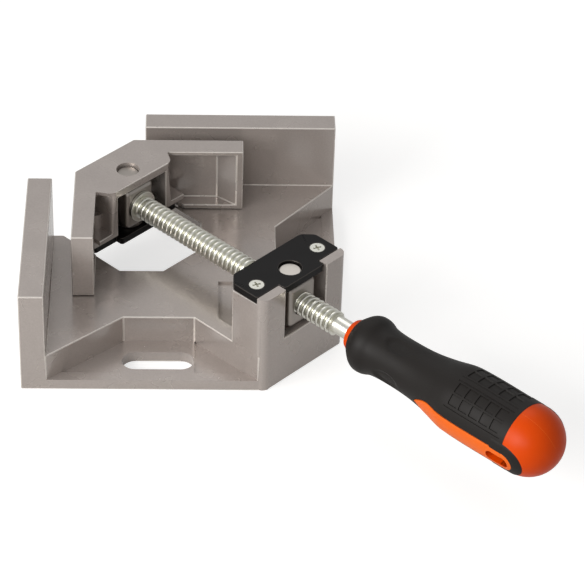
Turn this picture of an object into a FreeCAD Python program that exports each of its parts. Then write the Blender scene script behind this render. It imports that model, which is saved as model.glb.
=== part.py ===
import FreeCAD, Part
import math
import os
import Sketcher
from FreeCAD import Placement, Rotation, Vector

os.makedirs("parts", exist_ok=True)
doc = FreeCAD.newDocument("corner_clamp")
sheet = doc.addObject("Spreadsheet::Sheet", "sizes")


class Size:
    """A length that keeps its spreadsheet expression beside its value."""

    def __init__(self, value, text):
        self.value = value
        self.text = text

    def __add__(self, other):
        o = lift(other)
        return Size(self.value + o.value, f"({self.text} + {o.text})")

    def __radd__(self, other):
        return lift(other) + self

    def __sub__(self, other):
        o = lift(other)
        return Size(self.value - o.value, f"({self.text} - {o.text})")

    def __rsub__(self, other):
        return lift(other) - self

    def __mul__(self, other):
        o = lift(other)
        return Size(self.value * o.value, f"({self.text} * {o.text})")

    def __rmul__(self, other):
        return lift(other) * self

    def __truediv__(self, other):
        o = lift(other)
        return Size(self.value / o.value, f"({self.text} / {o.text})")

    def __neg__(self):
        return Size(-self.value, f"(-1 * {self.text})")


def lift(value):
    if isinstance(value, Size):
        return value
    return Size(float(value), repr(float(value)))


size_row = [0]


def size(alias, value):
    size_row[0] += 1
    cell = f"A{size_row[0]}"
    sheet.set(cell, str(value))
    sheet.setAlias(cell, alias)
    return Size(float(value), f"sizes.{alias}")


ROOT2 = math.sqrt(2.0)
DIAGONAL = Rotation(Vector(0, 0, 1), -45)
LEVEL = Rotation()

# Base casting. Origin: corner of the two fence faces on the bench plane.
reach = size("fence_reach", 95.0)
fence_t = size("fence_thickness", 8.1)
fence_gap = size("fence_gap", 30.3)
fence_top = size("fence_top", 37.05)
table = size("table_height", 13.4)
flange = size("flange_height", 3.8)
bay = size("bay_half_width", 18.95)
bay_back = size("bay_back_edge", 49.4)
bay_front = size("bay_front_distance", 61.0)
wall_in = reach - size("flange_wall_inset", 20.5)
wall_end = size("flange_wall_start", 24.3)
pad_drop = size("flange_sink", 0.5)
strip_in = reach - size("front_strip_width", 4.0)
ped_half = size("pedestal_half_width", 19.2)
ped_cut = size("pedestal_back_chamfer", 3.5)
ped_seat = size("pedestal_seat", 33.9)
ped_round = size("pedestal_front_round", 3.0)
ped_front = ((reach + size("pedestal_overhang", 0.207) - ped_round) * ROOT2
             - ped_half + ped_round * 2)
trunnion_d = ped_front - size("trunnion_inset", 7.3)
fork_half = size("fork_half_width", 9.4)
fork_floor = size("fork_floor", 17.1)
slot_x = size("slot_middle_x", 35.65)
slot_y = reach - size("slot_middle_inset", 10.1)
slot_long = size("slot_overall_length", 23.4)
slot_r = size("slot_radius", 4.4)
sink_corner = size("table_recess_corner", 55.1)
sink_side = size("table_recess_side", 74.7)
sink_depth = size("table_recess_depth", 0.9)

# Screw line, pins and plates.
axis_z = size("screw_axis_height", 25.4)
pivot_d = size("jaw_pivot_distance", 35.2)
pin_r = size("pin_radius", 3.78)
pin_bore_r = size("pin_bore_radius", 3.85)
pin_tip_r = size("pin_tip_radius", 3.3)
pin_tip = size("pin_tip_length", 0.6)
pin_down = size("trunnion_pin_depth", 6.6)
plate_t = size("plate_thickness", 2.5)
plate_back = size("plate_back_reach", 10.3)
jaw_plate_back = size("jaw_plate_back_reach", 6.6)
plate_front = size("plate_front_reach", 3.7)
plate_tab = size("plate_tab_reach", 6.3)
tab_half = size("plate_tab_half_width", 9.0)
plate_half = size("plate_half_length", 18.9)
plate_cut = size("plate_corner_cut", 3.5)
bolt_off = size("plate_screw_offset", 1.3)
bolt_side = size("plate_screw_side", 14.0)
bolt_r = size("plate_screw_radius", 1.25)
bolt_hole_r = size("plate_screw_hole_radius", 1.35)
bolt_head_r = size("plate_screw_head_radius", 2.4)
bolt_sink_r = size("plate_screw_sink_radius", 2.55)
bolt_head_t = size("plate_screw_head_height", 1.2)
bolt_deep = size("plate_screw_depth", 6.0)
ped_back = trunnion_d - plate_back
post_in = trunnion_d + plate_front + 0.3

# Jaw casting.
jaw_low = size("jaw_bottom", 13.65)
jaw_high = size("jaw_top", 37.05)
jaw_face = size("jaw_face", 7.4)
jaw_end = size("jaw_arm_end", 63.5)
jaw_corner = size("jaw_chamfer_corner", 26.4)
jaw_inner = size("jaw_arm_inner", 14.6)
web_end = size("jaw_top_web_end", 37.8)
house_front = size("housing_front", 42.0)
house_half = size("housing_half_width", 13.5)
cheek_in = size("cheek_inner", 11.0)
house_back = size("housing_back_wall", 26.0)
house_roof = size("housing_roof", 3.0)
arm_wall = size("arm_wall", 2.2)
arm_roof = size("arm_top_flange", 1.4)
arm_floor = size("arm_bottom_flange", 1.7)
arm_end_in = size("arm_end_wall_mouth", 61.2)
arm_end_deep = size("arm_end_wall_deep", 54.7)
lip_half = plate_half + size("lip_overlap", 0.6)
lip_top = size("lip_top", 20.7)
lip_low = size("lip_front_underside", 19.0)
lip_step = size("lip_step_distance", 39.2)
boss_r = size("jaw_boss_radius", 3.0)
boss_top = size("jaw_boss_top", 26.5)

# Blocks on the screw.
block_half = size("block_half_width", 6.0)
block_low = size("block_bottom", 17.8)
block_high = size("block_top", 33.0)
block_round = size("block_edge_round", 1.6)
shoulder_r = size("block_shoulder_radius", 4.9)
shoulder_gap = size("block_shoulder_gap", 0.3)
nut_pin_high = size("nut_pin_top", 35.5)
swivel_pin_high = size("swivel_pin_top", 35.7)

# Lead screw along the diagonal, distances from the datum corner.
tip_d = size("screw_tip", 26.5)
neck_r = size("screw_neck_radius", 2.53)
neck_bore_r = size("neck_bore_radius", 2.6)
thread_r = size("thread_radius", 4.0)
thread_bore_r = size("thread_bore_radius", 4.07)
thread_start = size("thread_start", 42.5)
thread_end = size("thread_end", 131.7)
shank_r = size("screw_shank_radius", 3.0)
shank_end = size("screw_shank_end", 176.0)
washer_t = size("front_washer_thickness", 1.2)
washer_r = size("front_washer_radius", 5.4)
back_washer_t = size("back_washer_thickness", 1.0)
back_washer_r = size("back_washer_radius", 4.6)
washer_bore_r = size("washer_bore_radius", 2.8)
ring_t = size("ring_thickness", 0.8)
ring_r = size("ring_radius", 3.6)
side_gap = size("block_side_gap", 0.1)

# Handle, distances from the datum corner.
collar_d = size("collar_start", 138.0)
collar_r = size("collar_radius", 5.3)
core_r = size("core_radius", 5.0)
core_wide_r = size("core_wide_radius", 7.4)
core_wide_d = size("core_wide_start", 180.0)
core_bore_r = size("core_bore_radius", 3.3)
grip_start = size("grip_start", 140.2)
grip_swell_d = size("grip_front_swell", 145.6)
grip_swell_r = size("grip_front_swell_radius", 9.7)
grip_waist_d = size("grip_waist_start", 153.5)
grip_waist_end = size("grip_waist_end", 163.0)
grip_waist_r = size("grip_waist_radius", 8.05)
grip_palm_d = size("grip_palm_start", 186.5)
grip_end = size("grip_end", 208.3)
grip_gap = size("grip_bore_gap", 0.25)
dome_d = size("dome_start", 210.0)
dome_r = size("dome_radius", 11.4)
strip_sink = size("strip_below_grip", 0.12)
hang_d = size("hang_slot_middle", 206.9)
hang_long = size("hang_slot_length", 8.4)
hang_r = size("hang_slot_radius", 1.9)

def diag(d, l):
    """Row-frame point at distance d along the diagonal and l to its right."""
    return ((d + l) / ROOT2, (l - d) / ROOT2)


def new_body(name):
    body = doc.addObject("PartDesign::Body", name)
    body.Label = name
    return body


def plane_of(body, index):
    return body.Origin.OriginFeatures[3 + index]


def new_sketch(body, name, z=0.0, turned=False, plane=0):
    return offset_sketch(body, name, plane, (0.0, 0.0, z), DIAGONAL if turned else LEVEL)


def offset_sketch(body, name, plane, shift, turn):
    """Sketch on a plane of the body's origin, moved and turned in that plane's own axes."""
    sketch = body.newObject("Sketcher::SketchObject", name)
    sketch.AttachmentSupport = [(plane_of(body, plane), "")]
    sketch.MapMode = "FlatFace"
    steps = [lift(value) for value in shift]
    sketch.AttachmentOffset = Placement(Vector(*[step.value for step in steps]), turn)
    for axis, step in zip("xyz", steps):
        sketch.setExpression(f"AttachmentOffset.Base.{axis}", step.text)
    return sketch


def bind(sketch, index, value):
    sketch.setExpression(f"Constraints[{index}]", lift(value).text)


def pin_point(sketch, geometry, position, x, y):
    x = lift(x)
    y = lift(y)
    if abs(x.value) < 1e-9:
        sketch.addConstraint(Sketcher.Constraint("PointOnObject", geometry, position, -2))
    else:
        i = sketch.addConstraint(
            Sketcher.Constraint("DistanceX", -1, 1, geometry, position, x.value))
        bind(sketch, i, x)
    if abs(y.value) < 1e-9:
        sketch.addConstraint(Sketcher.Constraint("PointOnObject", geometry, position, -1))
    else:
        i = sketch.addConstraint(
            Sketcher.Constraint("DistanceY", -1, 1, geometry, position, y.value))
        bind(sketch, i, y)


def sign_of(value):
    if abs(value) < 1e-6:
        return 0.0
    return math.copysign(1.0, value)


def polygon(sketch, points):
    """Closed outline placed by spreadsheet sizes; a third entry rounds a square corner."""
    corners = [(lift(p[0]), lift(p[1]), lift(p[2]) if len(p) > 2 else None) for p in points]
    count = len(corners)
    stops = []
    for k in range(count):
        x, y, r = corners[k]
        if r is None:
            stops.append(((x, y), (x, y), None))
            continue
        before = corners[k - 1]
        after = corners[(k + 1) % count]
        in_x = sign_of(x.value - before[0].value)
        in_y = sign_of(y.value - before[1].value)
        out_x = sign_of(after[0].value - x.value)
        out_y = sign_of(after[1].value - y.value)
        stops.append(((x - r * in_x, y - r * in_y), (x + r * out_x, y + r * out_y), r))
    chain = []
    for k in range(count):
        enter, leave, r = stops[k]
        if r is not None:
            mid_x = enter[0].value + leave[0].value - corners[k][0].value
            mid_y = enter[1].value + leave[1].value - corners[k][1].value
            diagonal_x = (corners[k][0].value - mid_x) / ROOT2
            diagonal_y = (corners[k][1].value - mid_y) / ROOT2
            arc = Part.ArcOfCircle(
                Vector(enter[0].value, enter[1].value, 0),
                Vector(mid_x + diagonal_x, mid_y + diagonal_y, 0),
                Vector(leave[0].value, leave[1].value, 0))
            g = sketch.addGeometry(arc, False)
            swing = ((leave[1].value - mid_y) * (enter[0].value - mid_x)
                     - (leave[0].value - mid_x) * (enter[1].value - mid_y))
            chain.append((g, (1, 2) if swing > 0 else (2, 1), enter, leave, r))
        target = stops[(k + 1) % count][0]
        if math.hypot(target[0].value - leave[0].value, target[1].value - leave[1].value) < 1e-6:
            continue
        g = sketch.addGeometry(Part.LineSegment(
            Vector(leave[0].value, leave[1].value, 0),
            Vector(target[0].value, target[1].value, 0)), False)
        chain.append((g, (1, 2), leave, target, None))
    total = len(chain)
    for k in range(total):
        g, ends = chain[k][0], chain[k][1]
        after_g, after_ends = chain[(k + 1) % total][0], chain[(k + 1) % total][1]
        sketch.addConstraint(
            Sketcher.Constraint("Coincident", g, ends[1], after_g, after_ends[0]))
    for g, ends, start, end, r in chain:
        pin_point(sketch, g, ends[0], start[0], start[1])
        if r is not None:
            bind(sketch, sketch.addConstraint(Sketcher.Constraint("Radius", g, r.value)), r)


def circle(sketch, x, y, r):
    x = lift(x)
    y = lift(y)
    r = lift(r)
    g = sketch.addGeometry(
        Part.Circle(Vector(x.value, y.value, 0), Vector(0, 0, 1), r.value), False)
    pin_point(sketch, g, 3, x, y)
    bind(sketch, sketch.addConstraint(Sketcher.Constraint("Radius", g, r.value)), r)


def obround(sketch, x, y, length, r, along_x=True):
    """Slot outline with round ends, its middle at x, y."""
    x, y, length, r = lift(x), lift(y), lift(length), lift(r)
    reach_ = length / 2 - r
    if along_x:
        low = (x - reach_, y)
        high = (x + reach_, y)
        side = Vector(0, r.value, 0)
        angle = math.pi / 2
    else:
        low = (x, y - reach_)
        high = (x, y + reach_)
        side = Vector(-r.value, 0, 0)
        angle = math.pi
    pl = Vector(low[0].value, low[1].value, 0)
    ph = Vector(high[0].value, high[1].value, 0)
    up = Vector(0, 0, 1)
    a = sketch.addGeometry(
        Part.ArcOfCircle(Part.Circle(pl, up, r.value), angle, angle + math.pi), False)
    b = sketch.addGeometry(
        Part.ArcOfCircle(Part.Circle(ph, up, r.value), angle - math.pi, angle), False)
    c = sketch.addGeometry(Part.LineSegment(pl - side, ph - side), False)
    d = sketch.addGeometry(Part.LineSegment(ph + side, pl + side), False)
    sketch.addConstraint([
        Sketcher.Constraint("Tangent", a, 2, c, 1),
        Sketcher.Constraint("Tangent", c, 2, b, 1),
        Sketcher.Constraint("Tangent", b, 2, d, 1),
        Sketcher.Constraint("Tangent", d, 2, a, 1)])
    pin_point(sketch, a, 3, low[0], low[1])
    pin_point(sketch, b, 3, high[0], high[1])
    bind(sketch, sketch.addConstraint(Sketcher.Constraint("Radius", a, r.value)), r)


def grow(body, kind, sketch, name, **values):
    feature = body.newObject(f"PartDesign::{kind}", name)
    feature.Profile = sketch
    sketch.Visibility = False
    for key, value in values.items():
        if isinstance(value, Size):
            setattr(feature, key, value.value)
            feature.setExpression(key, value.text)
        else:
            setattr(feature, key, value)
    doc.recompute()
    return feature


def pad(body, sketch, name, length):
    return grow(body, "Pad", sketch, name, Length=lift(length))


def pocket(body, sketch, name, length):
    before = body.Shape.Volume
    feature = grow(body, "Pocket", sketch, name, Length=lift(length))
    if body.Shape.Volume > before - 0.01:
        raise ValueError(f"{name} removed nothing")
    return feature


def box_points(x0, x1, y0, y1):
    return [(x0, y0), (x1, y0), (x1, y1), (x0, y1)]


def mirrored(points):
    """The same outline on the other side of the diagonal."""
    return [(-y, -x) for x, y in points]


def revolve(body, sketch, name):
    return grow(body, "Revolution", sketch, name, Angle=360.0,
                ReferenceAxis=(sketch, ["H_Axis"]))


def round_edges(body, base, name, edges, radius):
    fillet = body.newObject("PartDesign::Fillet", name)
    fillet.Base = (base, edges)
    fillet.Radius = radius.value
    fillet.setExpression("Radius", radius.text)
    doc.recompute()
    return fillet


# Base casting
base = new_body("base_casting")
s = new_sketch(base, "table_outline")
edge_x, edge_y = reach, -reach
front = (ped_front * ROOT2 - 1.6) - reach
polygon(s, [
    (-fence_t, edge_y), (-fence_t, -fence_gap),
    (fence_gap - bay * ROOT2, -fence_gap),
    (bay_back - bay * ROOT2, -bay_back), (bay_front * ROOT2 - bay_back, -bay_back),
    (bay_back, bay_back - bay_front * ROOT2), (bay_back, bay * ROOT2 - bay_back),
    (fence_gap, bay * ROOT2 - fence_gap), (fence_gap, fence_t),
    (edge_x, fence_t), (edge_x, -front), (front, edge_y)])
pad(base, s, "table_block", table)

s = new_sketch(base, "fence_outlines")
polygon(s, box_points(-fence_t, 0.0, -reach, -fence_gap))
polygon(s, box_points(fence_gap, reach, 0.0, fence_t))
pad(base, s, "fences", fence_top)

s = new_sketch(base, "recess_outline", table)
sink_l = (sink_side - sink_corner)
sink_b = ped_back * ROOT2
polygon(s, [
    (sink_corner, -sink_corner), (sink_corner, -sink_side),
    ((sink_b - sink_l) / 2, -(sink_b + sink_l) / 2),
    ((sink_b + sink_l) / 2, -(sink_b - sink_l) / 2), (sink_side, -sink_corner)])
pocket(base, s, "table_recess", sink_depth)

wall_l = ped_half * ROOT2
over = reach + 3.0
s = new_sketch(base, "flange_outlines", table)
left_flange = [
    (wall_end * (over - reach) / (wall_in - reach), -over),
    (wall_end, -wall_in), (wall_in - wall_l, -wall_in), (over - wall_l, -over)]
polygon(s, left_flange)
polygon(s, mirrored(left_flange))
pocket(base, s, "front_flanges", table - flange)

s = new_sketch(base, "flange_sink_outlines", flange)
sink_x = wall_end * (reach - strip_in) / (reach - wall_in)
for points in (
        [(sink_x, -strip_in), (wall_end, -strip_in), (wall_end, -wall_in)],
        [(wall_in - wall_l, -wall_in), (wall_in - wall_l, -strip_in),
         (strip_in - wall_l, -strip_in)]):
    polygon(s, points)
    polygon(s, mirrored(points))
pocket(base, s, "flange_sinks", pad_drop)

s = new_sketch(base, "slot_outlines", flange)
obround(s, slot_x, -slot_y, slot_long, slot_r, True)
obround(s, slot_y, -slot_x, slot_long, slot_r, False)
pocket(base, s, "bench_slots", flange)

s = new_sketch(base, "pedestal_outline", 0.0, True)
polygon(s, [
    (ped_back, -(ped_half - ped_cut)), (ped_back + ped_cut, -ped_half),
    (ped_front, -ped_half, ped_round), (ped_front, ped_half, ped_round),
    (ped_back + ped_cut, ped_half), (ped_back, ped_half - ped_cut)])
pad(base, s, "pedestal", ped_seat)

s = new_sketch(base, "post_outlines", 0.0, True)
polygon(s, [
    (post_in, fork_half), (ped_front, fork_half), (ped_front, ped_half, ped_round),
    (post_in, ped_half)])
polygon(s, [
    (post_in, -ped_half), (ped_front, -ped_half, ped_round), (ped_front, -fork_half),
    (post_in, -fork_half)])
pad(base, s, "posts", ped_seat + plate_t)

s = new_sketch(base, "fork_outline", fence_top, True)
polygon(s, box_points(ped_back - 2.0, ped_front + 2.0, -fork_half, fork_half))
pocket(base, s, "fork", fence_top - fork_floor)

s = new_sketch(base, "trunnion_bore_outline", fork_floor, True)
circle(s, trunnion_d, 0.0, pin_bore_r)
pocket(base, s, "trunnion_bore", pin_down + 0.2)

s = new_sketch(base, "bolt_bore_outlines", ped_seat, True)
circle(s, trunnion_d - bolt_off, -bolt_side, bolt_hole_r)
circle(s, trunnion_d - bolt_off, bolt_side, bolt_hole_r)
pocket(base, s, "bolt_bores", bolt_deep)


def make_plate(name, middle, back, low):
    """Stamped plate with a tab in front, one pin hole and two countersunk holes."""
    body = new_body(name)
    s = new_sketch(body, name + "_outline", low, True)
    polygon(s, [
        (middle - back, -(plate_half - plate_cut)), (middle - back + plate_cut, -plate_half),
        (middle + plate_front, -plate_half), (middle + plate_front, -tab_half),
        (middle + plate_tab, -tab_half), (middle + plate_tab, tab_half),
        (middle + plate_front, tab_half), (middle + plate_front, plate_half),
        (middle - back + plate_cut, plate_half), (middle - back, plate_half - plate_cut)])
    circle(s, middle, 0.0, pin_bore_r)
    circle(s, middle - bolt_off, -bolt_side, bolt_hole_r)
    circle(s, middle - bolt_off, bolt_side, bolt_hole_r)
    pad(body, s, name + "_sheet", plate_t)
    return body


def sink_heads(body, name, middle, top):
    """Conical seats for the two screw heads."""
    face = (ped_seat + plate_t) if top else jaw_low
    sign = 1.0 if top else -1.0
    depth = bolt_sink_r - bolt_hole_r
    for side, tag in ((-1.0, "left"), (1.0, "right")):
        x, y = diag(middle - bolt_off, bolt_side * side)
        s = offset_sketch(body, f"{name}_{tag}_seat_profile", 1, (x, face, -y), LEVEL)
        polygon(s, [
            (0.0, 0.0), (bolt_sink_r, 0.0), (bolt_hole_r, depth * -sign),
            (0.0, depth * -sign)])
        grow(body, "Groove", s, f"{name}_{tag}_seat", Angle=360.0,
             ReferenceAxis=(s, ["V_Axis"]))


ped_plate = make_plate("pedestal_top_plate", trunnion_d, plate_back, ped_seat)
sink_heads(ped_plate, "pedestal_top_plate", trunnion_d, True)
jaw_plate = make_plate("jaw_bottom_plate", pivot_d, jaw_plate_back, jaw_low)
sink_heads(jaw_plate, "jaw_bottom_plate", pivot_d, False)

# Jaw casting
jaw = new_body("jaw_casting")
s = new_sketch(jaw, "jaw_outline", jaw_low)
hx, hy = diag(house_front, -house_half)
polygon(s, [
    (jaw_face, -jaw_end), (jaw_face, -jaw_corner), (jaw_corner, -jaw_face),
    (jaw_end, -jaw_face), (jaw_end, -jaw_inner), (web_end, -jaw_inner),
    (-hy, -hx), (hx, hy), (jaw_inner, -web_end), (jaw_inner, -jaw_end)])
pad(jaw, s, "jaw_block", jaw_high - jaw_low)

s = new_sketch(jaw, "housing_space_outline", jaw_high - house_roof, True)
polygon(s, box_points(house_back, house_front + 4.0, -cheek_in, cheek_in))
pocket(jaw, s, "housing_space", jaw_high - house_roof - jaw_low)

s = new_sketch(jaw, "arm_space_outlines", jaw_high - arm_roof)
wall = jaw_face + arm_wall
past = jaw_inner + 9.0
arm_space = [
    (wall, -arm_end_deep), (jaw_inner, -arm_end_in), (past, -arm_end_in),
    (past, -(house_half * ROOT2) - past), (wall, -(house_half * ROOT2) - wall)]
polygon(s, arm_space)
polygon(s, mirrored(arm_space))
pocket(jaw, s, "arm_spaces", jaw_high - arm_roof - jaw_low - arm_floor)

s = new_sketch(jaw, "plate_seat_outline", jaw_low, True)
seat_back = pivot_d - jaw_plate_back - 0.3
seat_cut = lip_half - plate_half + plate_cut - 0.1
polygon(s, [
    (seat_back, -(lip_half - seat_cut)), (seat_back + seat_cut, -lip_half),
    (house_front + 4.0, -lip_half), (house_front + 4.0, lip_half),
    (seat_back + seat_cut, lip_half), (seat_back, lip_half - seat_cut)])
grow(jaw, "Pocket", s, "plate_seat", Length=plate_t, Reversed=True)

s = new_sketch(jaw, "lip_outlines", jaw_low + plate_t)
root = jaw_face + 1.0
in_l = (cheek_in + 1.0) * ROOT2
out_l = lip_half * ROOT2
far = house_front * ROOT2
lip = [
    (root, -out_l - root), ((far - out_l) / 2, -(far + out_l) / 2),
    ((far - in_l) / 2, -(far + in_l) / 2), (root, -in_l - root)]
polygon(s, lip)
polygon(s, mirrored(lip))
pad(jaw, s, "lips", lip_top - jaw_low - plate_t)

s = new_sketch(jaw, "lip_step_outline", jaw_low, True)
polygon(s, box_points(lip_step, house_front + 4.0, -(lip_half + 1.0), lip_half + 1.0))
grow(jaw, "Pocket", s, "lip_step", Length=lip_low - jaw_low, Reversed=True)

s = new_sketch(jaw, "boss_outlines", jaw_low + plate_t, True)
circle(s, pivot_d - bolt_off, -bolt_side, boss_r)
circle(s, pivot_d - bolt_off, bolt_side, boss_r)
pad(jaw, s, "bosses", boss_top - jaw_low - plate_t)

s = new_sketch(jaw, "jaw_pin_outline", jaw_high, True)
circle(s, pivot_d, 0.0, pin_bore_r)
pocket(jaw, s, "jaw_pin_bore", house_roof + 1.0)

s = new_sketch(jaw, "boss_bore_outlines", jaw_low + plate_t, True)
circle(s, pivot_d - bolt_off, -bolt_side, bolt_hole_r)
circle(s, pivot_d - bolt_off, bolt_side, bolt_hole_r)
grow(jaw, "Pocket", s, "boss_bores", Length=bolt_deep - 1.0, Reversed=True)


def make_block(name, middle, bore, pin_low, pin_high, low_face, high_face):
    """Square block on the screw with a round pin above and below."""
    body = new_body(name)
    s = new_sketch(body, name + "_square", block_low, True)
    polygon(s, box_points(middle - block_half, middle + block_half, -block_half, block_half))
    block = pad(body, s, name + "_body", block_high - block_low)
    names = [f"Edge{n}" for n in range(1, len(block.Shape.Edges) + 1)]
    round_edges(body, block, name + "_rounds", names, block_round)
    s = new_sketch(body, name + "_pin_outline", pin_low, True)
    circle(s, middle, 0.0, pin_r)
    pad(body, s, name + "_pins", pin_high - pin_tip - pin_low)
    s = new_sketch(body, name + "_tip_outline", pin_low, True)
    circle(s, middle, 0.0, pin_tip_r)
    pad(body, s, name + "_tip", pin_high - pin_low)
    s = new_sketch(body, name + "_shoulder_outline", low_face + shoulder_gap, True)
    circle(s, middle, 0.0, shoulder_r)
    pad(body, s, name + "_shoulders", high_face - low_face - shoulder_gap * 2)
    s = offset_sketch(body, name + "_bore_outline", 2, (0.0, axis_z, 0.0),
                      Rotation(Vector(0, 1, 0), -45))
    circle(s, 0.0, 0.0, bore)
    grow(body, "Pocket", s, name + "_bore", Length=lift(300.0), Midplane=True)
    return body


nut = make_block("trunnion_nut", trunnion_d, thread_bore_r, fork_floor - pin_down,
                 nut_pin_high, fork_floor, ped_seat)
swivel = make_block("jaw_swivel_block", pivot_d, neck_bore_r, jaw_low + 0.4,
                    swivel_pin_high, jaw_low + plate_t, jaw_high - house_roof)


def turned_body(name, points):
    """Round piece on the screw axis; corners are (distance, radius)."""
    body = new_body(name)
    s = new_sketch(body, name + "_profile", 0.0, False, 1)
    polygon(s, points)
    revolve(body, s, name + "_turned")
    body.Placement = Placement(Vector(0, 0, axis_z.value), DIAGONAL)
    body.setExpression("Placement.Base.z", axis_z.text)
    return body


block_back = pivot_d - block_half - side_gap
ring_back = block_back - back_washer_t - ring_t
turned_body("lead_screw", [
    (tip_d, 0.0), (tip_d, neck_r - 0.5), (tip_d + 0.5, neck_r), (thread_start, neck_r),
    (thread_start, thread_r - 0.8), (thread_start + 0.8, thread_r),
    (thread_end - 0.8, thread_r), (thread_end, shank_r), (shank_end, shank_r),
    (shank_end, 0.0)])
turned_body("front_thrust_washer", [
    (thread_start - washer_t, washer_bore_r), (thread_start, washer_bore_r),
    (thread_start, washer_r), (thread_start - washer_t, washer_r)])
turned_body("back_thrust_washer", [
    (block_back - back_washer_t, washer_bore_r), (block_back, washer_bore_r),
    (block_back, back_washer_r), (block_back - back_washer_t, back_washer_r)])
turned_body("screw_retaining_ring", [
    (ring_back, washer_bore_r), (ring_back + ring_t, washer_bore_r),
    (ring_back + ring_t, ring_r), (ring_back, ring_r)])

# Handle
def between(start, end, steps, curve, drop=0.0):
    """Outline points after the first station, the radius following a curve from 0 to 1."""
    points = []
    for step in steps:
        along = start[0] + (end[0] - start[0]) * step
        points.append((along, start[1] + (end[1] - start[1]) * curve(step) - drop))
    return points


def quarter_rise(t):
    return math.sin(t * math.pi / 2)


def smooth_step(t):
    return (1 - math.cos(t * math.pi)) / 2


nose = (grip_start, collar_r + 0.7)
swell = (grip_swell_d, grip_swell_r)
waist = (grip_waist_d, grip_waist_r)
waist_last = (grip_waist_end, grip_waist_r)
palm = (grip_palm_d, dome_r)
core = turned_body("handle_core", [
    (collar_d, core_bore_r), (collar_d, collar_r - 0.7), (collar_d + 0.7, collar_r),
    (grip_start + 1.5, collar_r), (grip_start + 2.0, core_r), (core_wide_d, core_r),
    (core_wide_d + 4.0, core_wide_r), (grip_end, core_wide_r), (grip_end, dome_r),
    (dome_d + dome_r, dome_r, dome_r), (dome_d + dome_r, 0.0), (shank_end, 0.0),
    (shank_end, core_bore_r)])
grip = turned_body("handle_grip", [
    (grip_start, collar_r + grip_gap), nose]
    + between(nose, swell, (0.25, 0.5, 0.75, 1.0), quarter_rise)
    + between(swell, waist, (0.2, 0.4, 0.6, 0.8, 1.0), smooth_step) + [waist_last]
    + between(waist_last, palm, (0.15, 0.3, 0.45, 0.6, 0.75, 0.9, 1.0), smooth_step) + [
    (grip_end, dome_r),
    (grip_end, core_wide_r + grip_gap), (core_wide_d + 4.0, core_wide_r + grip_gap),
    (core_wide_d, core_r + grip_gap), (grip_start + 2.0, core_r + grip_gap),
    (grip_start + 1.5, collar_r + grip_gap)])

for tag, turn in (("front", 105.0), ("back", 285.0)):
    facing = Rotation(Vector(1, 0, 0), turn)
    rows = (0.52, 0.6, 0.7, 0.8, 0.9, 1.0)
    top = between(waist_last, palm, rows, smooth_step, strip_sink)
    s = offset_sketch(core, f"strip_{tag}_profile", 1, (0.0, 0.0, 0.0), facing)
    polygon(s, [(top[0][0], core_r - 0.6)] + top + [
        (grip_end + 0.4, dome_r - strip_sink), (grip_end + 0.4, core_r - 0.6)])
    grow(core, "Revolution", s, f"strip_{tag}", Angle=36.0, Midplane=True,
         ReferenceAxis=(s, ["H_Axis"]))
    s = offset_sketch(grip, f"strip_{tag}_space_profile", 1, (0.0, 0.0, 0.0), facing)
    polygon(s, box_points(top[0][0] - grip_gap, grip_end + 1.0, core_r - 1.0, dome_r + 1.0))
    grow(grip, "Groove", s, f"strip_{tag}_space", Angle=38.6, Midplane=True,
         ReferenceAxis=(s, ["H_Axis"]))

s = offset_sketch(core, "hang_slot_outline", 1, (0.0, 0.0, 0.0), Rotation(Vector(1, 0, 0), 15))
obround(s, hang_d, 0.0, hang_long, hang_r, True)
grow(core, "Pocket", s, "hang_slot", Length=dome_r * 2 + 4.0, Midplane=True)


def bolt_pair(name, middle, top, depth):
    """Two countersunk screws as revolved solids."""
    solids = []
    for side in (-1.0, 1.0):
        head = doc.addObject("Part::Cone", name + "_head")
        rod = doc.addObject("Part::Cylinder", name + "_rod")
        both = doc.addObject("Part::Fuse", name + "_screw")
        face = (ped_seat + plate_t) if top else jaw_low
        x, y = diag(middle - bolt_off, bolt_side * side)
        head.setExpression("Radius1", bolt_head_r.text)
        head.setExpression("Radius2", bolt_r.text)
        head.setExpression("Height", bolt_head_t.text)
        rod.setExpression("Radius", bolt_r.text)
        rod.setExpression("Height", (depth + plate_t - 0.5).text)
        turn = Rotation(Vector(1, 0, 0), 180) if top else Rotation()
        sign = -1.0 if top else 1.0
        for thing, drop in ((head, lift(0.0)), (rod, lift(0.5))):
            thing.Placement = Placement(Vector(0, 0, 0), turn)
            thing.setExpression("Placement.Base.x", x.text)
            thing.setExpression("Placement.Base.y", y.text)
            thing.setExpression("Placement.Base.z", (face + drop * sign).text)
        both.Base = head
        both.Tool = rod
        doc.recompute()
        solids.append(both)
    pair = doc.addObject("Part::Compound", name)
    pair.Links = solids
    pair.Label = name
    return pair


bolt_pair("pedestal_plate_screws", trunnion_d, True, bolt_deep)
bolt_pair("jaw_plate_screws", pivot_d, False, bolt_deep - 1.0)

doc.recompute()
names = [
    "base_casting", "pedestal_top_plate", "pedestal_plate_screws", "trunnion_nut",
    "lead_screw", "front_thrust_washer", "back_thrust_washer", "screw_retaining_ring",
    "jaw_swivel_block", "jaw_casting", "jaw_bottom_plate", "jaw_plate_screws",
    "handle_core", "handle_grip"]
for name in names:
    item = doc.getObject(name)
    members = [item] + list(getattr(item, "Group", []))
    for member in members:
        if "Invalid" in member.State or "Error" in member.State:
            raise ValueError(f"{member.Name} is {member.State}")
    if item.Shape.isNull() or not item.Shape.isValid():
        raise ValueError(f"{name} has no valid shape")
    item.Shape.exportStep(f"parts/{name}.step")
    box = item.Shape.BoundBox
    print(name, "solids", len(item.Shape.Solids), "volume", round(item.Shape.Volume, 1),
          "x", round(box.XMin, 2), round(box.XMax, 2), "y", round(box.YMin, 2),
          round(box.YMax, 2), "z", round(box.ZMin, 2), round(box.ZMax, 2))
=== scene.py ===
import contextlib
import math

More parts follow.
